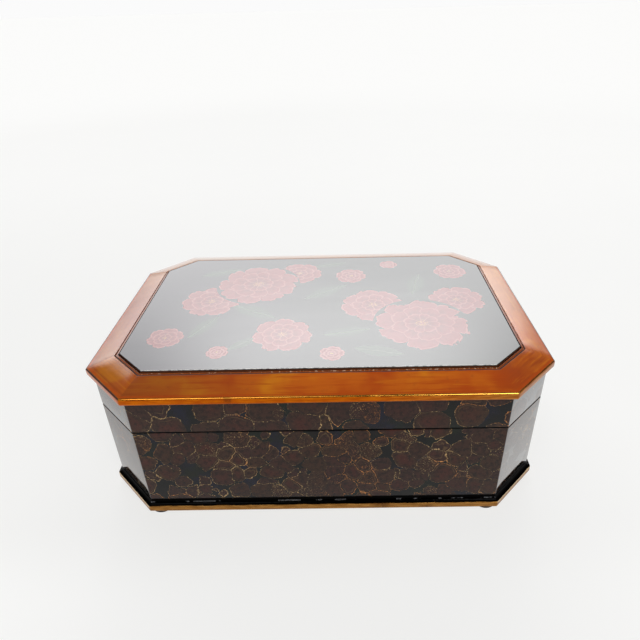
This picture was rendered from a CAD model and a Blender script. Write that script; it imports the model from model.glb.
"""Looks of an octagonal lacquered tea ceremony box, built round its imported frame.

The sections follow the box as it is put together: feet, plinth, bottom board and liner, base
walls, tray, lid walls, lid frame, picture panel, then the stage it is shown on.
"""
import math

import bmesh
import bpy
from mathutils import Matrix, Vector


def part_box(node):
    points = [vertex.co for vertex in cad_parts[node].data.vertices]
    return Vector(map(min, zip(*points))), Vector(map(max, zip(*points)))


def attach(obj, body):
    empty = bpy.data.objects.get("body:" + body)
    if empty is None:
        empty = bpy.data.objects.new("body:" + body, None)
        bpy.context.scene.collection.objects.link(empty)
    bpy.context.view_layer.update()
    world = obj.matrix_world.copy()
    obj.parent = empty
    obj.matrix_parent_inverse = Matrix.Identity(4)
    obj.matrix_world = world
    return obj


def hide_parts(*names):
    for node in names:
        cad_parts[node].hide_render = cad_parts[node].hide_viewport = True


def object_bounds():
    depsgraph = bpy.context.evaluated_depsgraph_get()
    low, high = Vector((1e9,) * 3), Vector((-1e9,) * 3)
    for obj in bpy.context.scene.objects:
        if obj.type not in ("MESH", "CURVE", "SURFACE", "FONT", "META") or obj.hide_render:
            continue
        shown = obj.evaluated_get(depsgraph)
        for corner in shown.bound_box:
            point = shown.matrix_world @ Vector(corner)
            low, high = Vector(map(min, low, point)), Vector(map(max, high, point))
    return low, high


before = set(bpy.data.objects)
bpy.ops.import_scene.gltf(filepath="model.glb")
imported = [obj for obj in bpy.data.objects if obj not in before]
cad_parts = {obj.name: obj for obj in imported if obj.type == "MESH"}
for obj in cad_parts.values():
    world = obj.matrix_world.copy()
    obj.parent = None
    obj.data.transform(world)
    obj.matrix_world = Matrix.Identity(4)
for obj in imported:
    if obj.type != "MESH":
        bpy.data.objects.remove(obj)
cad_low, cad_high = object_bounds()


# ---- Feet ----------------------------------------------------------------------------
# Four round pads of dense dark rubber, glued under the plinth. Their rims are scuffed pale
# where the box has been pushed over a table.

MM = 0.001
FEET = ("foot_front_left", "foot_front_right", "foot_back_left", "foot_back_right")
RUBBER = (0.016, 0.010, 0.007, 1)
SCUFFED_RUBBER = (0.050, 0.034, 0.025, 1)
RUBBER_GRAIN = 0.1 * MM


def add_node(tree, kind, sockets=None, **settings):
    """A node with its settings, its inputs linked from a socket or set to a number or colour."""
    node = tree.nodes.new(kind)
    for key, value in settings.items():
        setattr(node, key, value)
    for key, value in (sockets or {}).items():
        if isinstance(value, bpy.types.NodeSocket):
            tree.links.new(value, node.inputs[key])
        else:
            node.inputs[key].default_value = value
    return node


def calc(tree, operation, *values):
    """The result of one sum on sockets or numbers."""
    sockets = dict(enumerate(values))
    return add_node(tree, "ShaderNodeMath", sockets, operation=operation).outputs[0]


def times(tree, *values):
    """The product of two sockets or numbers."""
    return calc(tree, "MULTIPLY", *values)


def shift(tree, operation, *values):
    """The result of one sum on vectors."""
    sockets = dict(enumerate(values))
    return add_node(tree, "ShaderNodeVectorMath", sockets, operation=operation).outputs[0]


def split(tree, vector):
    """The X, Y and Z of a vector."""
    return add_node(tree, "ShaderNodeSeparateXYZ", {0: vector}).outputs


def ease(tree, value, start, end, low=0.0, high=1.0):
    """Goes smoothly from low to high as value passes from start to end."""
    sockets = {"Value": value, "From Min": start, "From Max": end, "To Min": low, "To Max": high}
    kind = "ShaderNodeMapRange"
    return add_node(tree, kind, sockets, interpolation_type="SMOOTHSTEP").outputs["Result"]


def stripe(tree, value, middle, half):
    """1 where value is at the middle, gone at half each side of it."""
    away = calc(tree, "ABSOLUTE", calc(tree, "SUBTRACT", value, middle))
    return ease(tree, away, half * 0.4, half, 1.0, 0.0)


def cover(tree, share, under, over):
    """Colour under, covered by colour over where share is 1."""
    node = add_node(tree, "ShaderNodeMix", {0: share, 6: under, 7: over}, data_type="RGBA")
    return node.outputs[2]


def noise(tree, place, scale, detail=3.0, roughness=0.5):
    """Cloudy values about 0.5; scale is in clouds to the millimetre."""
    sockets = {"Vector": place, "Scale": scale, "Detail": detail, "Roughness": roughness}
    return add_node(tree, "ShaderNodeTexNoise", sockets).outputs


def new_finish(name, **settings):
    """A node material: its tree, its Principled surface and the place on the box in millimetres."""
    finish = bpy.data.materials.new(name)
    finish.use_nodes = True
    tree = finish.node_tree
    tree.nodes.clear()
    surface = add_node(tree, "ShaderNodeBsdfPrincipled", settings)
    add_node(tree, "ShaderNodeOutputMaterial", {"Surface": surface.outputs["BSDF"]})
    spot = add_node(tree, "ShaderNodeTexCoord").outputs["Object"]
    place = shift(tree, "MULTIPLY", spot, (1 / MM, 1 / MM, 1 / MM))
    return finish, tree, surface, place


def feed(tree, surface, **values):
    """Links values to the surface's sockets; Base_Color stands for Base Color."""
    for key, value in values.items():
        tree.links.new(value, surface.inputs[key.replace("_", " ")])


def add_bump(tree, surface, height, depth):
    """Relief on the surface; depth is how deep a height of 1 is, in metres."""
    bump = add_node(tree, "ShaderNodeBump", {"Height": height, "Distance": depth})
    tree.links.new(bump.outputs["Normal"], surface.inputs["Normal"])


def coat_node(node_name, finish):
    """Gives a CAD node its finish."""
    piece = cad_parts[node_name]
    piece.data.materials.clear()
    piece.data.materials.append(finish)


def rubber_finish():
    finish, tree, surface, place = new_finish("dark_rubber", IOR=1.35)
    grime = noise(tree, place, 0.35, 5.0)["Fac"]
    colour = cover(tree, ease(tree, grime, 0.5, 0.72), RUBBER, SCUFFED_RUBBER)
    feed(tree, surface, Base_Color=colour, Roughness=ease(tree, grime, 0.3, 0.7, 0.55, 0.8))
    add_bump(tree, surface, noise(tree, place, 2.2, 4.0)["Fac"], RUBBER_GRAIN)
    return finish


rubber = rubber_finish()
for foot in FEET:
    coat_node(foot, rubber)


# ---- Plinth --------------------------------------------------------------------------
# Eight mitred mouldings, a gilt band below and a hollow above it, dipped in black lacquer that
# runs over the mitres. The gilding is bronze powder laid on the band by brush.

# name of each side, the turn about Z that brings the front side there, and the way it faces
SIDES = (
    ("front", 0, 0, -1),
    ("front_right", 45, 1, -1),
    ("right", 90, 1, 0),
    ("back_right", 135, 1, 1),
    ("back", 180, 0, 1),
    ("back_left", 225, -1, 1),
    ("left", 270, -1, 0),
    ("front_left", 315, -1, -1),
)
HALF_CORNER = math.radians(22.5)
MITRE = math.tan(HALF_CORNER)
half_length = cad_high.x
half_width = cad_high.y
long_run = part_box("frame_front")[1].x
short_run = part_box("frame_right")[1].y
corner_cut = half_length - long_run

ARRIS_STEPS = 4
ROUND_STEPS = 5
LEAST_ARRIS = 0.2 * MM
STRETCH = 6 * MM


def side_line(to_right, to_back):
    """Middle of a side of the box's outermost line, and half its run."""
    if to_right and to_back:
        middle = (half_length - corner_cut / 2, half_width - corner_cut / 2)
        return Vector((middle[0] * to_right, middle[1] * to_back, 0)), corner_cut / math.sqrt(2)
    if to_right:
        return Vector((half_length * to_right, 0, 0)), short_run
    return Vector((0, half_width * to_back, 0)), long_run


def soften(corners):
    """Points of a moulding's outline from its corners (inset, level, radius), rounded over."""
    points = []
    for number, (inset, level, radius) in enumerate(corners):
        here = Vector((inset, level))
        if not radius:
            points.append(here)
            continue
        before = Vector(corners[number - 1][:2]) - here
        after = Vector(corners[(number + 1) % len(corners)][:2]) - here
        reach = radius / math.tan(before.angle(after) / 2)
        start = here + before.normalized() * reach
        end = here + after.normalized() * reach
        for step in range(ROUND_STEPS + 1):
            share = step / ROUND_STEPS
            bend = here * 2 * share * (1 - share)
            points.append(start * (1 - share) ** 2 + bend + end * share**2)
    return points


def run_moulding(name, side, outline, arris):
    """One mitred length of a moulding, its lacquer rounding the corners of the octagon.

    outline is a list of (inset, level); arris is the radius of the octagon's corners outside.
    """
    turn, to_right, to_back = side
    middle, run = side_line(to_right, to_back)
    turned = Matrix.Rotation(math.radians(turn), 3, "Z")
    along = turned @ Vector((1, 0, 0))
    inward = turned @ Vector((0, 1, 0))
    outermost = min(point[0] for point in outline)
    stretches = max(2, round(2 * run / STRETCH))

    def line_at(inset):
        """Places along the side and inward of one line of the moulding, end to end."""
        radius = max(arris - (inset - outermost), LEAST_ARRIS)
        straight = run - (inset + radius) * MITRE
        ends = []
        for step in range(ARRIS_STEPS + 1):
            angle = HALF_CORNER * step / ARRIS_STEPS
            reach = straight + radius * math.sin(angle)
            ends.append((reach, inset + radius * (1 - math.cos(angle))))
        steps = range(1, stretches)
        between = [(straight * (2 * number / stretches - 1), inset) for number in steps]
        return [(-x, y) for x, y in reversed(ends)] + between + ends

    mesh = bmesh.new()
    grid = []
    for inset, level in outline:
        at_level = middle + Vector((0, 0, level))
        line = [mesh.verts.new(at_level + along * x + inward * y) for x, y in line_at(inset)]
        grid.append(line)
    for number, line in enumerate(grid):
        after = grid[(number + 1) % len(grid)]
        for spot in range(len(line) - 1):
            mesh.faces.new((line[spot], line[spot + 1], after[spot + 1], after[spot]))
    mesh.faces.new([line[0] for line in grid])
    mesh.faces.new([line[-1] for line in grid])
    bmesh.ops.recalc_face_normals(mesh, faces=mesh.faces)
    return mesh_piece(name, mesh)


def mesh_piece(name, mesh, crease=35):
    """An object from a bmesh, smooth except over creases sharper than the angle."""
    data = bpy.data.meshes.new(name)
    mesh.to_mesh(data)
    mesh.free()
    data.polygons.foreach_set("use_smooth", [True] * len(data.polygons))
    data.set_sharp_from_angle(angle=math.radians(crease))
    piece = bpy.data.objects.new(name, data)
    bpy.context.scene.collection.objects.link(piece)
    return piece


def run_ring(ring, body, outline, arris, finish):
    """A ring of eight mouldings, each in the place of its CAD node."""
    for name, *side in SIDES:
        node_name = f"{ring}_{name}"
        piece = run_moulding(f"{node_name}_lacquered", side, outline, arris)
        piece.data.materials.append(finish)
        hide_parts(node_name)
        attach(piece, body)


def new_group(name, inputs, outputs):
    """An empty node group: its tree, its inputs and its output node."""
    group = bpy.data.node_groups.new(name, "ShaderNodeTree")
    for way, sockets in (("INPUT", inputs), ("OUTPUT", outputs)):
        for socket, kind in sockets:
            group.interface.new_socket(socket, in_out=way, socket_type=f"NodeSocket{kind}")
    given = add_node(group, "NodeGroupInput").outputs
    return group, given, add_node(group, "NodeGroupOutput")


def put_group(tree, group, place):
    """A node group laid in a material, told the place it works on."""
    part = add_node(tree, "ShaderNodeGroup", node_tree=group)
    tree.links.new(place, part.inputs["Place"])
    return part


def rim_group():
    """How far a place lies inside the box's outermost line, and which side it lies on."""
    names = ("Inset", "Front", "Corner", "To Mitre")
    outputs = [(name, "Float") for name in names]
    group, given, made = new_group("place_on_octagon", (("Place", "Vector"),), outputs)
    axes = split(group, given["Place"])
    x = calc(group, "ABSOLUTE", axes["X"])
    y = calc(group, "ABSOLUTE", axes["Y"])
    past_end = calc(group, "SUBTRACT", x, half_length / MM)
    past_face = calc(group, "SUBTRACT", y, half_width / MM)
    across = calc(group, "SUBTRACT", calc(group, "ADD", x, y), (half_length + short_run) / MM)
    past_corner = times(group, across, math.sqrt(0.5))
    furthest = calc(group, "MAXIMUM", calc(group, "MAXIMUM", past_end, past_face), past_corner)
    group.links.new(times(group, furthest, -1.0), made.inputs["Inset"])
    beside = calc(group, "MAXIMUM", past_end, past_corner)
    forward = calc(group, "SUBTRACT", past_face, beside)
    before = ease(group, axes["Y"], 0.0, -9.0)
    front = times(group, ease(group, forward, -0.6, 0.6), before)
    group.links.new(front, made.inputs["Front"])
    straight = calc(group, "MAXIMUM", past_end, past_face)
    past_mitre = calc(group, "SUBTRACT", past_corner, straight)
    group.links.new(ease(group, past_mitre, -0.6, 0.6), made.inputs["Corner"])
    group.links.new(calc(group, "ABSOLUTE", past_mitre), made.inputs["To Mitre"])
    return group


def gilt_group():
    """Bronze powder in lacquer, streaky, and rubbed brown in places; warmer where Warmth is 1."""
    inputs = (("Place", "Vector"), ("Wear", "Float"), ("Warmth", "Float"))
    outputs = (("Colour", "Color"), ("Roughness", "Float"), ("Height", "Float"))
    group, given, made = new_group("brushed_gilt", inputs, outputs)
    drawn = shift(group, "MULTIPLY", given["Place"], (0.3, 0.3, 2.4))
    streaks = noise(group, drawn, 0.3, 3.0)["Fac"]
    patches = noise(group, given["Place"], 0.045, 4.0, 0.6)["Fac"]
    grain = noise(group, given["Place"], 2.6, 2.0)["Fac"]
    deep = cover(group, given["Warmth"], BAND_DEEP, EDGE_DEEP)
    bright = cover(group, given["Warmth"], BAND_BRIGHT, EDGE_BRIGHT)
    tone = cover(group, ease(group, streaks, 0.38, 0.62), deep, bright)
    tone = cover(group, ease(group, patches, 0.48, 0.66, 0.0, 0.8), tone, deep)
    rubbed = ease(group, calc(group, "ADD", patches, given["Wear"]), 0.62, 0.8)
    tone = cover(group, times(group, rubbed, 0.7), tone, GILT_RUBBED)
    group.links.new(tone, made.inputs["Colour"])
    rough = ease(group, calc(group, "ADD", streaks, rubbed), 0.3, 1.3, 0.2, 0.45)
    group.links.new(rough, made.inputs["Roughness"])
    group.links.new(calc(group, "MULTIPLY_ADD", streaks, 1.5, grain), made.inputs["Height"])
    return group


EDGE_DEEP = (0.42, 0.078, 0.0025, 1)
EDGE_BRIGHT = (0.56, 0.135, 0.003, 1)
BAND_DEEP = (0.25, 0.105, 0.020, 1)
BAND_BRIGHT = (0.40, 0.19, 0.045, 1)
GILT_RUBBED = (0.05, 0.018, 0.008, 1)
BLACK_LACQUER = (0.0006, 0.0005, 0.0005, 1)
GLINT = (0.35, 0.35, 0.36, 1)
BAND_SHINE = (0.80, 0.62, 0.38, 1)
octagon = rim_group()
gilt = gilt_group()

plinth_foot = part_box("plinth_front")[0].z
plinth_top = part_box("plinth_front")[1].z
BAND_TOP = 9.0
REBATE_LEVEL = 7.8
PLINTH_FACE = 0.5 * MM
PLINTH_BACK = 20.1 * MM
PLINTH_REBATE = 12.1 * MM
COVE_FOOT = 1.7 * MM
WALL_FACE = 4.1 * MM
COVE_RADIUS = 4.5 * MM
COVE_STEPS = 7
COVE_DENTS = 0.07 * MM
PLINTH_ARRIS = 2.0 * MM
GLINT_LEVEL = 11.1


def cove_points(lower, upper, radius):
    """The hollow between two corners, a short arc bowed into the moulding."""
    chord = upper - lower
    aside = math.sqrt(radius**2 - (chord.length / 2) ** 2)
    centre = (lower + upper) / 2 + Vector((-chord.y, chord.x)).normalized() * aside
    first = lower - centre
    sweep = first.angle_signed(upper - centre)
    turns = [Matrix.Rotation(-sweep * step / COVE_STEPS, 2) for step in range(1, COVE_STEPS)]
    return [centre + turn @ first for turn in turns]


def plinth_outline():
    lower = Vector((COVE_FOOT, BAND_TOP * MM))
    upper = Vector((WALL_FACE, plinth_top))
    band = (
        (PLINTH_BACK, plinth_foot, 0),
        (PLINTH_FACE, plinth_foot, 1.1 * MM),
        (PLINTH_FACE, BAND_TOP * MM, 1.0 * MM),
        (COVE_FOOT, BAND_TOP * MM, 0),
    )
    inside = (
        upper,
        Vector((PLINTH_REBATE, plinth_top)),
        Vector((PLINTH_REBATE, REBATE_LEVEL * MM)),
        Vector((PLINTH_BACK, REBATE_LEVEL * MM)),
    )
    return [*soften(band), *cove_points(lower, upper, COVE_RADIUS), *inside]


def plinth_finish():
    settings = {"IOR": 1.5, "Specular IOR Level": 0.02}
    finish, tree, surface, place = new_finish("black_cove_gilt_band", **settings)
    layer = put_group(tree, gilt, place)
    layer.inputs["Wear"].default_value = 0.05
    layer.inputs["Warmth"].default_value = 0.0
    level = split(tree, place)["Z"]
    wander = noise(tree, place, 0.12, 4.0)["Fac"]
    level = calc(tree, "MULTIPLY_ADD", wander, 0.8, level)
    banded = ease(tree, level, BAND_TOP - 0.15, BAND_TOP + 0.2, 1.0, 0.0)
    spread = put_group(tree, octagon, place)
    shine = stripe(tree, level, BAND_TOP - 0.2, 0.9)
    shine = times(tree, shine, spread.outputs["Corner"])
    tone = cover(tree, times(tree, shine, 0.8), layer.outputs["Colour"], BAND_SHINE)
    colour = cover(tree, banded, BLACK_LACQUER, tone)
    broken = ease(tree, noise(tree, place, 0.06, 3.0, 0.7)["Fac"], 0.52, 0.60)
    glint = times(tree, stripe(tree, level, GLINT_LEVEL, 0.5), spread.outputs["Front"])
    glint = times(tree, glint, broken)
    colour = cover(tree, glint, colour, GLINT)
    shares = {0: banded, 2: 0.06, 3: layer.outputs["Roughness"]}
    rough = add_node(tree, "ShaderNodeMix", shares, data_type="FLOAT").outputs[0]
    metal = calc(tree, "MAXIMUM", times(tree, banded, 0.85), glint)
    feed(tree, surface, Base_Color=colour, Metallic=metal, Roughness=rough)
    dents = times(tree, noise(tree, place, 0.16, 3.0, 0.6)["Fac"], 4.0)
    height = calc(tree, "MULTIPLY_ADD", layer.outputs["Height"], banded, dents)
    add_bump(tree, surface, height, COVE_DENTS)
    return finish


black_and_gilt = plinth_finish()
run_ring("plinth", "base", plinth_outline(), PLINTH_ARRIS, black_and_gilt)


# ---- Bottom board and liner ----------------------------------------------------------
# A thin board in the plinth's rebate, and eight strips against the inside of the walls. Both are
# plain black lacquer rubbed to a satin gloss; the liner's top is the rim that the lid slides over.

INSIDE_BLACK = (0.007, 0.0062, 0.006, 1)
INSIDE_BROWN = (0.016, 0.009, 0.006, 1)
INSIDE_SWELL = 0.06 * MM


def inside_finish():
    finish, tree, surface, place = new_finish("satin_black_inside", IOR=1.5)
    clouds = noise(tree, place, 0.02, 5.0, 0.6)["Fac"]
    rubbed = noise(tree, place, 0.5, 4.0, 0.65)["Fac"]
    colour = cover(tree, ease(tree, clouds, 0.42, 0.68), INSIDE_BLACK, INSIDE_BROWN)
    feed(tree, surface, Base_Color=colour, Roughness=ease(tree, rubbed, 0.3, 0.75, 0.16, 0.34))
    add_bump(tree, surface, noise(tree, place, 0.15, 4.0)["Fac"], INSIDE_SWELL)
    return finish


satin_black = inside_finish()
coat_node("bottom_board", satin_black)
for name, *_ in SIDES:
    coat_node(f"liner_{name}", satin_black)


# ---- Base walls ----------------------------------------------------------------------
# Eight boards mitred at the cut corners under one skin of patterned lacquer: brown cells with
# broken gold outlines over a blue-black ground, rubbed flat and polished.

WALL_BACK = 12.1 * MM
WALL_ARRIS = 1.2 * MM
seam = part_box("wall_front")[1].z
frame_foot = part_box("frame_front")[0].z
SEAM_GAP = 1.3 * MM
SEAM_DEPTH = 2.0 * MM
WALL_SWELL = 0.12 * MM
# how far neighbouring outlines melt together, in shares of a cell
CELL_MELT = 0.14
# size of a cell and width of its outline in millimetres, with the least and the largest radius
# as shares of that size between them
BASE_CELLS = (14.0, 0.50, 0.88, 0.24)

GROUND_BLACK = (0.0045, 0.0042, 0.0040, 1)
GROUND_BLUE = (0.0080, 0.0080, 0.0200, 1)
GROUND_GREEN = (0.0075, 0.0100, 0.0055, 1)
CELL_BROWN = (0.040, 0.0180, 0.0085, 1)
CELL_PLUM = (0.034, 0.0130, 0.0105, 1)
CELL_HEART = (0.060, 0.0135, 0.0085, 1)
CELL_SHADE = (0.012, 0.0065, 0.0050, 1)
THREAD = (0.135, 0.078, 0.031, 1)
BEAD_GOLD = (0.66, 0.43, 0.19, 1)
BEAD_ORANGE = (0.72, 0.27, 0.07, 1)
SEAM_BLACK = (0.0012, 0.0011, 0.0010, 1)


def cell_group():
    """Rounded cells that crowd against each other, with an outline along each one's rim."""
    numbers = ("Cell Size", "Smallest", "Largest", "Line")
    inputs = (("Place", "Vector"), *((name, "Float") for name in numbers))
    names = ("Cell", "Outline", "Ring", "Depth", "Tone", "Chance")
    group, given, made = new_group("lacquer_cells", inputs, [(name, "Float") for name in names])
    scale = calc(group, "DIVIDE", 1.0, given["Cell Size"])
    scaled = {0: given["Place"], "Scale": scale}
    spot = add_node(group, "ShaderNodeVectorMath", scaled, operation="SCALE").outputs[0]
    slow = noise(group, spot, 0.9, 2.0)["Color"]
    quick = noise(group, spot, 3.6, 4.0, 0.65)["Color"]
    spot = shift(group, "MULTIPLY_ADD", slow, (0.7, 0.7, 0.7), spot)
    spot = shift(group, "MULTIPLY_ADD", quick, (0.15, 0.15, 0.15), spot)
    sockets = {"Vector": spot, "Scale": 1.0, "Randomness": 0.85}
    near = add_node(group, "ShaderNodeTexVoronoi", sockets).outputs
    edge = add_node(group, "ShaderNodeTexVoronoi", sockets, feature="DISTANCE_TO_EDGE").outputs[0]
    chance = add_node(group, "ShaderNodeSeparateColor", {0: near["Color"]}).outputs
    spread = calc(group, "SUBTRACT", given["Largest"], given["Smallest"])
    radius = calc(group, "MULTIPLY_ADD", chance["Red"], spread, given["Smallest"])
    to_rim = calc(group, "SUBTRACT", radius, near["Distance"])
    inside = calc(group, "SMOOTH_MIN", to_rim, edge, CELL_MELT)
    wide = times(group, given["Line"], scale)
    line = calc(group, "DIVIDE", calc(group, "ABSOLUTE", inside), wide)
    ring = calc(group, "DIVIDE", calc(group, "SUBTRACT", inside, 0.11), wide)
    for name, value in (
        ("Cell", ease(group, inside, -0.03, 0.02)),
        ("Outline", ease(group, line, 0.35, 1.0, 1.0, 0.0)),
        ("Ring", ease(group, calc(group, "ABSOLUTE", ring), 0.3, 1.3, 1.0, 0.0)),
        ("Depth", ease(group, inside, 0.0, 0.42)),
        ("Tone", chance["Green"]),
        ("Chance", chance["Blue"]),
    ):
        group.links.new(value, made.inputs[name])
    return group


cells = cell_group()


def cell_colour(tree, place, part, mottle):
    """Ground and cells, clouded and grained, with no gold on them yet."""
    drift = noise(tree, place, 0.04, 3.0)["Color"]
    drift = add_node(tree, "ShaderNodeSeparateColor", {0: drift}).outputs
    grit = noise(tree, place, 0.9, 4.0, 0.75)["Fac"]
    ground = cover(tree, ease(tree, drift["Red"], 0.48, 0.64), GROUND_BLACK, GROUND_BLUE)
    ground = cover(tree, ease(tree, drift["Green"], 0.48, 0.60), ground, GROUND_GREEN)
    ground = cover(tree, ease(tree, mottle, 0.50, 0.70, 0.0, 0.6), ground, CELL_SHADE)
    brown = cover(tree, part["Tone"], CELL_BROWN, CELL_PLUM)
    heart = times(tree, part["Depth"], ease(tree, part["Chance"], 0.2, 0.8, 0.15, 0.9))
    brown = cover(tree, heart, brown, CELL_HEART)
    brown = cover(tree, ease(tree, mottle, 0.42, 0.66, 0.0, 0.75), brown, CELL_SHADE)
    brown = cover(tree, ease(tree, grit, 0.55, 0.75, 0.0, 0.5), brown, THREAD)
    return cover(tree, part["Cell"], ground, brown)


def gold_outlines(tree, place, part, colour):
    """Dull threads, bright beads and specks over the cells, and where the gold is."""
    beads = noise(tree, place, 1.0, 2.0, 0.6)["Fac"]
    stretch = noise(tree, place, 0.045, 2.0)["Fac"]
    thread = ease(tree, stretch, 0.38, 0.60, 0.10, 0.72)
    thread = times(tree, part["Outline"], thread)
    ringed = times(tree, part["Ring"], ease(tree, stretch, 0.5, 0.62, 0.0, 0.55))
    colour = cover(tree, calc(tree, "MAXIMUM", thread, ringed), colour, THREAD)
    bright = calc(tree, "MULTIPLY_ADD", stretch, 0.5, beads)
    bright = times(tree, part["Outline"], ease(tree, bright, 0.78, 0.84))
    specks = noise(tree, place, 1.1, 3.0, 0.7)["Fac"]
    speckled = times(tree, part["Cell"], ease(tree, part["Chance"], 0.10, 0.04))
    cloud = noise(tree, shift(tree, "ADD", place, (50.0, 0.0, 30.0)), 0.035, 2.0)["Fac"]
    speckled = calc(tree, "MAXIMUM", speckled, ease(tree, cloud, 0.62, 0.70))
    speckled = times(tree, speckled, ease(tree, specks, 0.60, 0.66))
    hue = noise(tree, place, 0.022, 2.0)["Fac"]
    metal = cover(tree, ease(tree, hue, 0.50, 0.60), BEAD_GOLD, BEAD_ORANGE)
    gold = calc(tree, "MAXIMUM", bright, times(tree, speckled, 0.6))
    return cover(tree, gold, colour, metal), gold


def dark_lines(tree, level, spread):
    """Dirt in the seam, over the plinth and under the frame, and the seam's alone."""
    behind = ease(tree, spread.outputs["Inset"], WALL_FACE / MM + 0.25, WALL_FACE / MM + 0.5)
    at_seam = times(tree, behind, stripe(tree, level, seam / MM + 0.5, 2.2))
    foot = calc(tree, "MULTIPLY_ADD", spread.outputs["Corner"], -3.5, level)
    at_foot = ease(tree, foot, plinth_top / MM + 2.2, plinth_top / MM + 0.4, 0.0, 0.9)
    under_rim = ease(tree, level, frame_foot / MM - 2.6, frame_foot / MM - 0.5, 0.0, 0.8)
    dark = calc(tree, "MAXIMUM", calc(tree, "MAXIMUM", at_seam, at_foot), under_rim)
    return dark, at_seam


def polished_coat(tree, to_right, part, mottle):
    """The clear coat, which shines at a slant, less over the cells and less to the left."""
    slant = add_node(tree, "ShaderNodeLayerWeight", {"Blend": 0.5}).outputs["Facing"]
    coat = ease(tree, slant, 0.45, 0.72)
    coat = times(tree, coat, ease(tree, to_right, -100.0, 100.0, 0.43, 1.0))
    veil = calc(tree, "MULTIPLY_ADD", part["Cell"], 0.5, mottle)
    return times(tree, coat, ease(tree, veil, 0.40, 1.05, 1.0, 0.80))


def wall_finish(name, start, sizes):
    """Patterned lacquer: one crowd of cells over the ground, with gold in its outlines."""
    settings = {"IOR": 1.32, "Coat IOR": 2.6, "Coat Roughness": 0.05}
    finish, tree, surface, place = new_finish(name, **settings)
    layer = put_group(tree, cells, shift(tree, "ADD", place, start))
    spread = put_group(tree, octagon, place)
    for socket, size in zip(("Cell Size", "Smallest", "Largest", "Line"), sizes):
        layer.inputs[socket].default_value = size
    part = layer.outputs
    axes = split(tree, place)
    mottle = noise(tree, place, 0.32, 4.0, 0.65)["Fac"]
    colour = cell_colour(tree, place, part, mottle)
    colour, gold = gold_outlines(tree, place, part, colour)
    dark, at_seam = dark_lines(tree, axes["Z"], spread)
    colour = cover(tree, dark, colour, SEAM_BLACK)
    smear = noise(tree, place, 0.08, 4.0)["Fac"]
    rough = ease(tree, smear, 0.3, 0.7, 0.05, 0.12)
    rough = calc(tree, "MULTIPLY_ADD", at_seam, 0.9, rough)
    coat = polished_coat(tree, axes["X"], part, mottle)
    coat = times(tree, coat, calc(tree, "SUBTRACT", 1.0, at_seam))
    feed(tree, surface, Base_Color=colour, Roughness=rough, Coat_Weight=coat)
    feed(tree, surface, Metallic=times(tree, gold, 0.3))
    swell = noise(tree, place, 0.05, 2.0)["Fac"]
    add_bump(tree, surface, calc(tree, "MULTIPLY_ADD", gold, 0.12, swell), WALL_SWELL)
    return finish


base_lacquer = wall_finish("celled_lacquer_base", (7.0, 3.0, 5.0), BASE_CELLS)
wall_corners = (
    (WALL_FACE, plinth_top, 0.2 * MM),
    (WALL_FACE, seam, 0.5 * MM),
    (WALL_BACK, seam, 0.3 * MM),
    (WALL_BACK, plinth_top, 0.2 * MM),
)
run_ring("wall", "base", soften(wall_corners), WALL_ARRIS, base_lacquer)


# ---- Tray ----------------------------------------------------------------------------
# A shallow lift-out tray of thin boards, black inside and out, that hangs on the rim by the
# flange of its walls.

for name, *_ in SIDES:
    coat_node(f"tray_wall_{name}", satin_black)
coat_node("tray_floor", satin_black)


# ---- Lid walls -----------------------------------------------------------------------
# The same patterned lacquer on a lower band of walls, with larger and looser cells. The outer
# lip of their lower edge is cut back, so a fine dark line shows between lid and base.

LID_WALL_BACK = 11.7 * MM
LID_CELLS = (24.0, 0.44, 0.72, 0.25)

lid_lacquer = wall_finish("celled_lacquer_lid", (61.0, 20.0, 83.0), LID_CELLS)
lid_wall_corners = (
    (WALL_FACE, seam + SEAM_GAP, 0.3 * MM),
    (WALL_FACE, frame_foot, 0.2 * MM),
    (LID_WALL_BACK, frame_foot, 0.2 * MM),
    (LID_WALL_BACK, seam, 0.3 * MM),
    (WALL_FACE + SEAM_DEPTH, seam, 0),
    (WALL_FACE + SEAM_DEPTH, seam + SEAM_GAP, 0),
)
run_ring("lid_wall", "lid", soften(lid_wall_corners), WALL_ARRIS, lid_lacquer)


# ---- Lid frame -----------------------------------------------------------------------
# Eight rails mitred into an octagon, sloping from a narrow bead down to a gilt edge, under clear
# amber lacquer that pools darker in places. The picture panel lies in their rebate.

frame_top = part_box("frame_front")[1].z
EDGE_TOP = 118.7
EDGE_ROUND = 1.6 * MM
BEVEL_WIDTH = 21.3
BEAD_BACK = 23.3
FRAME_BACK = 31.3 * MM
LEDGE_LEVEL = 120.8 * MM
GROOVE = 0.9 * MM
FRAME_ARRIS = 1.6 * MM
FRAME_SWELL = 0.2 * MM
CHIP_LINE = 22.6
# how far the lacquer softens the mitres of the slope, and how much it rounds them
HIP_WIDTH = 6.9
HIP_FALL = 2.4

AMBER = (0.50, 0.106, 0.005, 1)
AMBER_YELLOW = (0.60, 0.190, 0.006, 1)
AMBER_RED = (0.40, 0.058, 0.003, 1)
AMBER_BROWN = (0.17, 0.040, 0.008, 1)
AMBER_TAN = (0.50, 0.25, 0.085, 1)
BEAD_BROWN = (0.26, 0.055, 0.006, 1)
GROOVE_RED = (0.030, 0.005, 0.002, 1)
EDGE_SHINE = (0.90, 0.46, 0.07, 1)
CHIPPED = (0.66, 0.44, 0.28, 1)
EDGE_BLACK = (0.006, 0.003, 0.002, 1)


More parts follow.
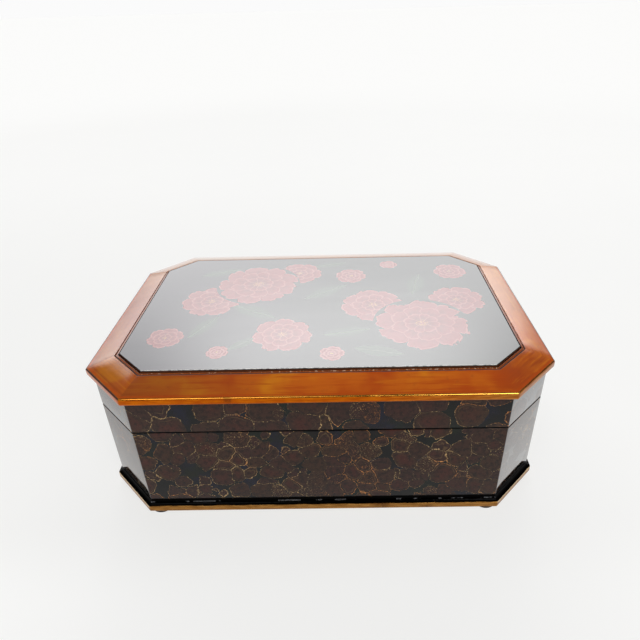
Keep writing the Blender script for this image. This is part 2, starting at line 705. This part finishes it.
def amber_colour(tree, place, axes, inset, corner, flecks):
    """Streaked amber, browner to the left and at the front corners, tan towards the back."""
    clouds = noise(tree, place, 0.022, 3.0, 0.5)["Fac"]
    across = times(tree, calc(tree, "ADD", axes["X"], axes["Y"]), 0.07)
    brushed = add_node(tree, "ShaderNodeCombineXYZ", {0: inset, 1: across}).outputs[0]
    strokes = noise(tree, brushed, 0.28, 4.0, 0.6)["Fac"]
    amber = cover(tree, ease(tree, clouds, 0.50, 0.66), AMBER, AMBER_RED)
    amber = cover(tree, ease(tree, clouds, 0.47, 0.34), amber, AMBER_YELLOW)
    amber = cover(tree, ease(tree, strokes, 0.50, 0.68, 0.0, 0.8), amber, AMBER_RED)
    amber = cover(tree, ease(tree, strokes, 0.46, 0.30, 0.0, 0.5), amber, AMBER_YELLOW)
    amber = cover(tree, ease(tree, flecks, 0.56, 0.80, 0.0, 0.35), amber, AMBER_BROWN)
    darker = ease(tree, axes["X"], 10.0, -140.0, 0.0, 0.62)
    darker = times(tree, darker, ease(tree, corner, 0.0, 1.0, 1.0, 0.45))
    amber = cover(tree, darker, amber, AMBER_BROWN)
    to_back = calc(tree, "MULTIPLY_ADD", axes["X"], 0.25, axes["Y"])
    amber = cover(tree, ease(tree, to_back, -50.0, 70.0, 0.0, 0.55), amber, AMBER_TAN)
    to_end = ease(tree, calc(tree, "ABSOLUTE", axes["X"]), 118.0, 148.0)
    to_end = times(tree, to_end, ease(tree, axes["Y"], -55.0, -88.0))
    to_end = times(tree, to_end, ease(tree, strokes, 0.35, 0.65, 0.15, 0.42))
    amber = cover(tree, to_end, amber, AMBER_BROWN)
    low_edge = times(tree, stripe(tree, inset, 2.4, 1.2), 0.75)
    return cover(tree, low_edge, amber, AMBER_RED)


def bead_colour(tree, place, axes, inset, front, flecks, amber):
    """Amber with the brown bead, its dark groove and its chips, and where the groove is."""
    on_bead = ease(tree, inset, BEVEL_WIDTH - 0.2, BEVEL_WIDTH + 0.2)
    amber = cover(tree, on_bead, amber, BEAD_BROWN)
    wander = calc(tree, "MULTIPLY_ADD", flecks, 1.2, calc(tree, "SUBTRACT", inset, 0.6))
    groove = times(tree, stripe(tree, wander, BEVEL_WIDTH - 0.2, 1.0), 0.95)
    groove = times(tree, groove, ease(tree, axes["Y"], -80.0, -60.0, 1.0, 0.4))
    groove = calc(tree, "MAXIMUM", groove, ease(tree, inset, BEAD_BACK - 0.6, BEAD_BACK - 0.2))
    amber = cover(tree, groove, amber, GROOVE_RED)
    chips = noise(tree, place, 0.5, 3.0, 0.7)["Fac"]
    chips = calc(tree, "MULTIPLY_ADD", ease(tree, axes["X"], -120.0, 60.0), 0.07, chips)
    chips = times(tree, ease(tree, chips, 0.58, 0.66), stripe(tree, inset, CHIP_LINE, 0.7))
    return cover(tree, times(tree, chips, front), amber, CHIPPED), groove


def edge_line(tree, axes, inset, front):
    """The dark line that edges the gilding, on every side but the front."""
    at_right = ease(tree, axes["X"], 125.0, 140.0)
    at_right = times(tree, at_right, ease(tree, axes["Y"], -78.0, -86.0))
    faint = calc(tree, "MAXIMUM", front, times(tree, at_right, 0.8))
    above = ease(tree, axes["Z"], EDGE_TOP - 1.6, EDGE_TOP - 1.2)
    line = times(tree, stripe(tree, inset, 0.6, 0.7), above)
    return times(tree, line, ease(tree, faint, 0.0, 1.0, 0.95, 0.0))


def frame_finish():
    settings = {"IOR": 1.5, "Coat IOR": 1.75, "Coat Roughness": 0.08}
    finish, tree, surface, place = new_finish("amber_frame_gilt_edge", **settings)
    layer = put_group(tree, gilt, place)
    inset, front, corner, to_mitre = put_group(tree, octagon, place).outputs
    axes = split(tree, place)
    level = axes["Z"]
    tree.links.new(ease(tree, axes["X"], 20.0, 150.0, 1.0, 0.35), layer.inputs["Warmth"])
    flecks = noise(tree, place, 0.16, 5.0, 0.6)["Fac"]
    amber = amber_colour(tree, place, axes, inset, corner, flecks)
    amber, groove = bead_colour(tree, place, axes, inset, front, flecks, amber)
    edged = ease(tree, level, EDGE_TOP + 0.15, EDGE_TOP + 0.45, 1.0, 0.0)
    colour = cover(tree, edged, amber, layer.outputs["Colour"])
    shine = times(tree, stripe(tree, level, EDGE_TOP - 0.15, 0.5), front)
    shine = times(tree, shine, ease(tree, axes["X"], -150.0, 120.0, 0.35, 0.9))
    colour = cover(tree, shine, colour, EDGE_SHINE)
    line = edge_line(tree, axes, inset, front)
    colour = cover(tree, line, colour, EDGE_BLACK)
    gilded = times(tree, edged, calc(tree, "SUBTRACT", 1.0, line))
    polish = ease(tree, flecks, 0.3, 0.7, 0.09, 0.15)
    dull = times(tree, groove, 0.6)
    dull = calc(tree, "MAXIMUM", dull, times(tree, line, 0.8))
    polish = calc(tree, "ADD", polish, dull)
    shares = {0: gilded, 2: polish, 3: layer.outputs["Roughness"]}
    rough = add_node(tree, "ShaderNodeMix", shares, data_type="FLOAT").outputs[0]
    slant = add_node(tree, "ShaderNodeLayerWeight", {"Blend": 0.5}).outputs["Facing"]
    on_slope = ease(tree, level, EDGE_TOP, EDGE_TOP + 0.6)
    coat = times(tree, ease(tree, slant, 0.66, 0.88), on_slope)
    feed(tree, surface, Base_Color=colour, Metallic=gilded, Roughness=rough, Coat_Weight=coat)
    swell = noise(tree, place, 0.06, 3.0)["Fac"]
    rubbed = times(tree, edged, 0.05)
    relief = calc(tree, "MULTIPLY_ADD", layer.outputs["Height"], rubbed, swell)
    hip = calc(tree, "SUBTRACT", 1.0, calc(tree, "DIVIDE", to_mitre, HIP_WIDTH))
    hip = calc(tree, "POWER", calc(tree, "MAXIMUM", hip, 0.0), 2.0)
    add_bump(tree, surface, calc(tree, "MULTIPLY_ADD", hip, -HIP_FALL, relief), FRAME_SWELL)
    return finish


amber_frame = frame_finish()
frame_corners = (
    (FRAME_BACK, frame_foot, 0),
    (0.0, frame_foot, EDGE_ROUND),
    (0.0, EDGE_TOP * MM, EDGE_ROUND),
    ((BEVEL_WIDTH - 0.6) * MM, frame_top - 0.17 * MM, 0.15 * MM),
    ((BEVEL_WIDTH - 0.2) * MM, frame_top - GROOVE, 0),
    (BEVEL_WIDTH * MM, frame_top - 0.6 * MM, 0.15 * MM),
    ((BEAD_BACK - 0.2) * MM, frame_top, 0.25 * MM),
    (BEAD_BACK * MM, frame_top - 0.5 * MM, 0.15 * MM),
    (BEAD_BACK * MM, LEDGE_LEVEL, 0),
    (FRAME_BACK, LEDGE_LEVEL, 0),
)
run_ring("frame", "lid", soften(frame_corners), FRAME_ARRIS, amber_frame)


# ---- Picture panel and ceiling -------------------------------------------------------
# The panel is a board of near-black lacquer, a little proud of the frame, with red blossoms and
# faint leaves painted under the last clear coats. The ceiling board closes the lid below it.

PANEL_ROUND = 0.4 * MM
PANEL_SWELL = 0.12 * MM
PANEL_BLACK = (0.010, 0.0115, 0.0125, 1)
PANEL_GREEN = (0.013, 0.0175, 0.0145, 1)
PANEL_PLUM = (0.016, 0.010, 0.022, 1)
LEAF_GREEN = (0.024, 0.046, 0.026, 1)
LEAF_VEIN = (0.060, 0.085, 0.050, 1)
PETAL_ROSE = (0.200, 0.028, 0.030, 1)
PETAL_DEEP = (0.120, 0.012, 0.014, 1)
PETAL_RIM = (0.32, 0.11, 0.095, 1)
STAMEN = (0.36, 0.17, 0.05, 1)
WORN_EDGE = (0.42, 0.40, 0.37, 1)
PANEL_SIDE = (0.12, 0.035, 0.012, 1)
# middle in X and Y, radius, turn in degrees and number of petals, in millimetres
BLOSSOMS = (
    (84, -36, 39, 8, 8),
    (-60, 40, 38, 20, 9),
    (46, -4, 28, 0, 7),
    (-98, 8, 27, 12, 7),
    (120, 2, 25, 30, 7),
    (-22, 62, 22, 5, 6),
    (-30, -50, 25, 15, 7),
    (124, 60, 16, 0, 6),
    (-124, -52, 15, 40, 6),
    (28, 54, 15, 10, 6),
    (10, -78, 10, 0, 5),
    (-78, -74, 9, 20, 5),
    (66, 78, 9, 0, 5),
)
# middle in X and Y, half length, turn in degrees and half width, in millimetres
LEAVES = (
    (4, 22, 24, -35, 8),
    (88, 34, 22, -75, 8),
    (-58, -12, 24, 30, 8),
    (-100, 66, 20, -20, 7),
    (22, -48, 20, -12, 7),
    (-96, -36, 20, -60, 7),
    (46, -76, 20, 15, 7),
    (-60, -62, 16, -40, 5),
    (8, 80, 18, -15, 6),
)
panel_low, panel_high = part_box("picture_panel")


def pick(tree, place, spots):
    """Which of the painted things a place is on: its middle, size, turn and last number."""
    middle, facts = (9999.0, 0.0, 0.0), (1.0, 0.0, 1.0)
    for x, y, size, turn, last in reversed(spots):
        spot = (x, y, 0)
        away = add_node(tree, "ShaderNodeVectorMath", {0: place, 1: spot}, operation="DISTANCE")
        on = calc(tree, "LESS_THAN", away.outputs["Value"], size * 1.03)
        near = {0: on, 4: middle, 5: spot}
        middle = add_node(tree, "ShaderNodeMix", near, data_type="VECTOR").outputs[1]
        near = {0: on, 4: facts, 5: (size, math.radians(turn), last)}
        facts = add_node(tree, "ShaderNodeMix", near, data_type="VECTOR").outputs[1]
    return middle, *split(tree, facts)


def polar(tree, place, middle, turn):
    """Distance from a middle in millimetres, and angle round it."""
    moved = shift(tree, "SUBTRACT", place, middle)
    axes = split(tree, moved)
    squares = times(tree, axes["Y"], axes["Y"])
    away = calc(tree, "SQRT", calc(tree, "MULTIPLY_ADD", axes["X"], axes["X"], squares))
    angle = calc(tree, "ADD", calc(tree, "ARCTAN2", axes["Y"], axes["X"]), turn)
    return away, angle


def petal_row(tree, away, angle, wobble, pairs, reach):
    """One row of petals: its mask, the lines round and between them, and how far out."""
    swing = calc(tree, "ABSOLUTE", calc(tree, "COSINE", times(tree, angle, pairs)))
    lobe = calc(tree, "POWER", swing, 0.4)
    notch = ease(tree, swing, 0.93, 1.0, 0.0, 0.05)
    lobe = calc(tree, "SUBTRACT", calc(tree, "MULTIPLY_ADD", lobe, 0.24, 0.76), notch)
    edge = calc(tree, "ADD", times(tree, reach, lobe), wobble)
    inside = calc(tree, "SUBTRACT", edge, away)
    mask = ease(tree, inside, -0.2, 0.5)
    rim = stripe(tree, inside, 0.8, 1.1)
    between = calc(tree, "DIVIDE", times(tree, swing, away), pairs)
    parting = ease(tree, between, 0.15, 0.75, 1.0, 0.0)
    outline = times(tree, calc(tree, "MAXIMUM", rim, parting), mask)
    return mask, outline, calc(tree, "DIVIDE", away, edge)


def blossom_group():
    """A round many-petalled blossom in three rows, streaked outward, with a dotted heart."""
    inputs = (("Place", "Vector"), ("Middle", "Vector"), ("Radius", "Float"), ("Turn", "Float"))
    outputs = (("Mask", "Float"), ("Outline", "Float"), ("Depth", "Float"), ("Heart", "Float"))
    group, given, made = new_group("painted_blossom", (*inputs, ("Petals", "Float")), outputs)
    radius = given["Radius"]
    pairs = calc(group, "DIVIDE", given["Petals"], 2.0)
    away, angle = polar(group, given["Place"], given["Middle"], given["Turn"])
    ripple = calc(group, "SUBTRACT", noise(group, given["Place"], 0.07, 3.0)["Fac"], 0.5)
    wobble = times(group, times(group, ripple, radius), 0.24)
    angle = calc(group, "MULTIPLY_ADD", ripple, 0.8, angle)
    petals, outline, depth = petal_row(group, away, angle, wobble, pairs, radius)
    for number, share in enumerate((0.7, 0.4)):
        turn = calc(group, "DIVIDE", math.pi / 2 - number, pairs)
        offset = calc(group, "ADD", angle, turn)
        reach = times(group, radius, share)
        wave = times(group, wobble, share)
        mask, lines, out = petal_row(group, away, offset, wave, pairs, reach)
        hidden = calc(group, "SUBTRACT", 1.0, mask)
        outline = calc(group, "MULTIPLY_ADD", outline, hidden, lines)
        shares = {0: mask, 2: depth, 3: out}
        depth = add_node(group, "ShaderNodeMix", shares, data_type="FLOAT").outputs[0]
    fan = {0: times(group, angle, 9.0), 1: times(group, away, 0.06)}
    fan = add_node(group, "ShaderNodeCombineXYZ", fan).outputs[0]
    streaks = calc(group, "SUBTRACT", noise(group, fan, 1.0, 3.0)["Fac"], 0.5)
    depth = calc(group, "MULTIPLY_ADD", streaks, 0.9, depth)
    core = calc(group, "DIVIDE", away, radius)
    dots = noise(group, given["Place"], 0.7, 1.0)["Fac"]
    heart = times(group, ease(group, core, 0.17, 0.10), ease(group, dots, 0.5, 0.6))
    for name, value in (("Mask", petals), ("Outline", outline), ("Depth", depth), ("Heart", heart)):
        group.links.new(value, made.inputs[name])
    return group


def leaf_group():
    """A pointed leaf with a midrib."""
    inputs = (("Place", "Vector"), ("Middle", "Vector"), ("Length", "Float"), ("Turn", "Float"))
    outputs = (("Leaf", "Float"), ("Rib", "Float"))
    group, given, made = new_group("painted_leaf", (*inputs, ("Width", "Float")), outputs)
    moved = shift(group, "SUBTRACT", given["Place"], given["Middle"])
    turned = {"Vector": moved, "Angle": given["Turn"]}
    kind = "ShaderNodeVectorRotate"
    moved = add_node(group, kind, turned, rotation_type="Z_AXIS").outputs[0]
    x, y, _ = split(group, moved)
    x = calc(group, "DIVIDE", x, given["Length"])
    y = calc(group, "DIVIDE", y, given["Width"])
    ripple = noise(group, given["Place"], 0.14, 2.0)["Fac"]
    y = calc(group, "ADD", y, calc(group, "MULTIPLY_ADD", ripple, 0.6, -0.3))
    width = calc(group, "SUBTRACT", 1.0, times(group, x, x))
    inside = calc(group, "SUBTRACT", width, calc(group, "ABSOLUTE", y))
    leaf = ease(group, inside, -0.03, 0.1)
    rib = times(group, ease(group, calc(group, "ABSOLUTE", y), 0.04, 0.12, 1.0, 0.0), leaf)
    group.links.new(leaf, made.inputs["Leaf"])
    group.links.new(rib, made.inputs["Rib"])
    return group


def painted_picture(tree, place, colour):
    """Leaves and blossoms painted over the panel's colour."""
    parts = []
    for group, spots in ((leaf_group(), LEAVES), (blossom_group(), BLOSSOMS)):
        part = put_group(tree, group, place)
        for number, value in enumerate(pick(tree, place, spots), start=1):
            tree.links.new(value, part.inputs[number])
        parts.append(part.outputs)
    leaf, blossom = parts
    colour = cover(tree, times(tree, leaf["Leaf"], 0.8), colour, LEAF_GREEN)
    colour = cover(tree, times(tree, leaf["Rib"], 0.6), colour, LEAF_VEIN)
    petal = cover(tree, ease(tree, blossom["Depth"], 0.35, 0.95), PETAL_DEEP, PETAL_ROSE)
    petal = cover(tree, times(tree, blossom["Outline"], 0.5), petal, PETAL_RIM)
    petal = cover(tree, blossom["Heart"], petal, STAMEN)
    return cover(tree, blossom["Mask"], colour, petal)


def panel_finish():
    finish, tree, surface, place = new_finish("blossom_panel", IOR=1.5)
    axes = split(tree, place)
    flat = add_node(tree, "ShaderNodeCombineXYZ", {0: axes["X"], 1: axes["Y"]}).outputs[0]
    clouds = noise(tree, place, 0.02, 3.0)["Fac"]
    colour = cover(tree, ease(tree, clouds, 0.4, 0.7), PANEL_BLACK, PANEL_GREEN)
    colour = cover(tree, ease(tree, axes["X"], 20.0, -120.0, 0.0, 0.8), colour, PANEL_PLUM)
    colour = painted_picture(tree, flat, colour)
    spread = put_group(tree, octagon, place)
    inset = calc(tree, "SUBTRACT", spread.outputs["Inset"], (half_length - panel_high.x) / MM)
    rubbed = noise(tree, place, 0.3, 4.0, 0.6)["Fac"]
    worn = times(tree, stripe(tree, inset, 0.45, 0.5), spread.outputs["Front"])
    worn = times(tree, worn, ease(tree, rubbed, 0.62, 0.45, 0.2, 0.9))
    colour = cover(tree, worn, colour, WORN_EDGE)
    top = panel_high.z / MM
    colour = cover(tree, ease(tree, axes["Z"], top - 0.5, top - 0.8), colour, PANEL_SIDE)
    rough = ease(tree, rubbed, 0.3, 0.7, 0.05, 0.10)
    feed(tree, surface, Base_Color=colour, Roughness=rough)
    drawn = shift(tree, "MULTIPLY", place, (0.25, 1.0, 1.0))
    add_bump(tree, surface, noise(tree, drawn, 0.04, 3.0)["Fac"], PANEL_SWELL)
    return finish


def lay_panel():
    """An octagonal board with its upper edges eased."""
    inset = half_length - panel_high.x
    corners = []
    for _, _, to_right, to_back in SIDES:
        if to_right and to_back:
            near = (long_run - inset * MITRE, half_width - inset)
            far = (half_length - inset, short_run - inset * MITRE)
            pair = (near, far) if to_right * to_back < 0 else (far, near)
            corners += [(x * to_right, y * to_back) for x, y in pair]
    mesh = bmesh.new()
    foot = mesh.faces.new([mesh.verts.new((x, y, panel_low.z)) for x, y in corners])
    raised = bmesh.ops.extrude_face_region(mesh, geom=[foot])["geom"]
    top = [item for item in raised if isinstance(item, bmesh.types.BMVert)]
    bmesh.ops.translate(mesh, verts=top, vec=(0, 0, panel_high.z - panel_low.z))
    edges = [edge for edge in mesh.edges if edge.verts[0] in top and edge.verts[1] in top]
    bmesh.ops.bevel(mesh, geom=edges, offset=PANEL_ROUND, segments=4, profile=0.5, affect="EDGES")
    face = max(mesh.faces, key=lambda item: item.calc_center_median().z)
    bmesh.ops.inset_region(mesh, faces=[face], thickness=PANEL_ROUND / 2)
    bmesh.ops.recalc_face_normals(mesh, faces=mesh.faces)
    return mesh_piece("picture_panel_lacquered", mesh)


panel = lay_panel()
panel.data.materials.append(panel_finish())
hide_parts("picture_panel")
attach(panel, "lid")
coat_node("lid_ceiling", satin_black)


# ---- Stage ---------------------------------------------------------------------------
# A white table in a pale room, a window low behind the box, lamps high in front of it, and the
# camera.

FLOOR_REACH = 30.0
WHITE_CARD = (0.82, 0.82, 0.81, 1)
CARD_SHARE = (0.19, 0.19, 0.187, 1)
NEAR_LEFT = (0.700, 0.700, 0.692, 1)
NEAR_RIGHT = (0.730, 0.730, 0.722, 1)
FRONT = (0.752, 0.752, 0.744, 1)
FAR = (0.775, 0.775, 0.768, 1)
TABLE_GRAIN = (0.5, 0.5, 0.5, 1)
BACKDROP = 0.965
# the window's light: how fast it grows with height, its level above, and what its middle adds
WINDOW_CLIMB = 11.5
WINDOW_LEVEL = 4.2
WINDOW_MIDDLE = 4.8
# way to each lamp, and its strength
LAMPS = (((0.40, -0.60, 0.70), 6.6), ((-0.30, -0.50, 0.80), 4.0))


def lay_table():
    """A white table; the camera and the gloss see it near to white, and it keeps the shadow."""
    mesh = bmesh.new()
    corners = [(-1, -1), (1, -1), (1, 1), (-1, 1)]
    mesh.faces.new([mesh.verts.new((x * FLOOR_REACH, y * FLOOR_REACH, 0)) for x, y in corners])
    table = mesh_piece("table_top", mesh)
    settings = {"Base Color": WHITE_CARD, "Roughness": 0.7, "IOR": 1.2}
    finish, tree, surface, place = new_finish("white_table", **settings)
    axes = split(tree, place)
    glow = cover(tree, ease(tree, axes["X"], -250.0, 350.0), NEAR_LEFT, NEAR_RIGHT)
    glow = cover(tree, ease(tree, axes["Y"], -125.0, -200.0), glow, FRONT)
    away = add_node(tree, "ShaderNodeVectorMath", {0: place}, operation="LENGTH").outputs["Value"]
    behind = ease(tree, axes["Y"], 100.0, 900.0, 0.0, 0.6)
    away = calc(tree, "MAXIMUM", ease(tree, away, 600.0, 2500.0), behind)
    glow = cover(tree, away, glow, FAR)
    grain = noise(tree, place, 0.01, 2.0)["Fac"]
    glow = cover(tree, times(tree, grain, 0.03), glow, TABLE_GRAIN)
    matt = add_node(tree, "ShaderNodeBsdfDiffuse", {"Color": CARD_SHARE})
    white = add_node(tree, "ShaderNodeEmission", {"Color": glow, "Strength": 1.0})
    seen = add_node(tree, "ShaderNodeAddShader", {0: matt.outputs[0], 1: white.outputs[0]})
    rays = add_node(tree, "ShaderNodeLightPath").outputs
    looked_at = calc(tree, "MAXIMUM", rays["Is Camera Ray"], rays["Is Glossy Ray"])
    looked_at = calc(tree, "MAXIMUM", looked_at, rays["Is Transmission Ray"])
    shares = {0: looked_at, 1: surface.outputs[0], 2: seen.outputs[0]}
    mix = add_node(tree, "ShaderNodeMixShader", shares)
    output = next(node for node in tree.nodes if node.type == "OUTPUT_MATERIAL")
    tree.links.new(mix.outputs[0], output.inputs["Surface"])
    table.data.materials.append(finish)


lay_table()


def window_light(tree, way):
    """Light by the way it comes from: a window low behind the box, and a room pale low down."""
    axes = split(tree, way)
    rise = axes["Z"]
    flat = calc(tree, "SQRT", calc(tree, "SUBTRACT", 1.0001, times(tree, rise, rise)))
    to_back = calc(tree, "DIVIDE", axes["Y"], flat)
    aside = calc(tree, "DIVIDE", axes["X"], flat)
    to_window = calc(tree, "MULTIPLY_ADD", to_back, 0.995, times(tree, aside, -0.09))
    room = ease(tree, rise, 0.20, 0.36, 0.9, 0.12)
    room = times(tree, room, ease(tree, to_back, -0.95, -0.3, 0.12, 1.0))
    sash = times(tree, ease(tree, to_window, 0.70, 0.83), ease(tree, rise, 0.72, 0.62))
    window = calc(tree, "MINIMUM", times(tree, rise, WINDOW_CLIMB), WINDOW_LEVEL)
    middle = times(tree, ease(tree, to_back, 0.89, 1.0), ease(tree, rise, 0.38, 0.60))
    window = calc(tree, "MULTIPLY_ADD", middle, WINDOW_MIDDLE, window)
    return calc(tree, "MAXIMUM", room, times(tree, window, sash))


def light_room():
    """World light: the window and the lamps, over a backdrop that the camera sees as white."""
    world = bpy.data.worlds.new("pale_room")
    bpy.context.scene.world = world
    world.use_nodes = True
    tree = world.node_tree
    tree.nodes.clear()
    way = add_node(tree, "ShaderNodeTexCoord").outputs["Generated"]
    total = window_light(tree, way)
    for lamp, strength in LAMPS:
        towards = Vector(lamp).normalized()
        pair = {0: way, 1: towards}
        near = add_node(tree, "ShaderNodeVectorMath", pair, operation="DOT_PRODUCT")
        near = near.outputs["Value"]
        total = calc(tree, "MULTIPLY_ADD", ease(tree, near, 0.955, 0.985), strength, total)
    lit = add_node(tree, "ShaderNodeBackground", {"Strength": total, "Color": (1, 1, 1, 1)})
    seen = add_node(tree, "ShaderNodeBackground", {"Strength": BACKDROP, "Color": (1, 1, 1, 1)})
    straight = add_node(tree, "ShaderNodeLightPath").outputs["Is Camera Ray"]
    shares = {0: straight, 1: lit.outputs[0], 2: seen.outputs[0]}
    mix = add_node(tree, "ShaderNodeMixShader", shares)
    add_node(tree, "ShaderNodeOutputWorld", {"Surface": mix.outputs[0]})


light_room()

CAMERA_PLACE = Vector((0.0170, -0.4122, 0.3546))
CAMERA_TURN = 0.0166
CAMERA_DIP = 0.5381
CAMERA_TILT = -0.0269
SENSOR = 36.0
LENS = 30.03
SHIFT = -0.0200

lens = bpy.data.cameras.new("viewpoint")
lens.sensor_width = SENSOR
lens.lens = LENS
lens.shift_x = SHIFT
lens.clip_start = 0.01
viewpoint = bpy.data.objects.new("viewpoint", lens)
bpy.context.scene.collection.objects.link(viewpoint)
viewpoint.matrix_world = (
    Matrix.Translation(CAMERA_PLACE)
    @ Matrix.Rotation(CAMERA_TURN, 4, "Z")
    @ Matrix.Rotation(math.pi / 2 - CAMERA_DIP, 4, "X")
    @ Matrix.Rotation(CAMERA_TILT, 4, "Z")
)
bpy.context.scene.camera = viewpoint
bpy.context.scene.view_settings.view_transform = "Standard"
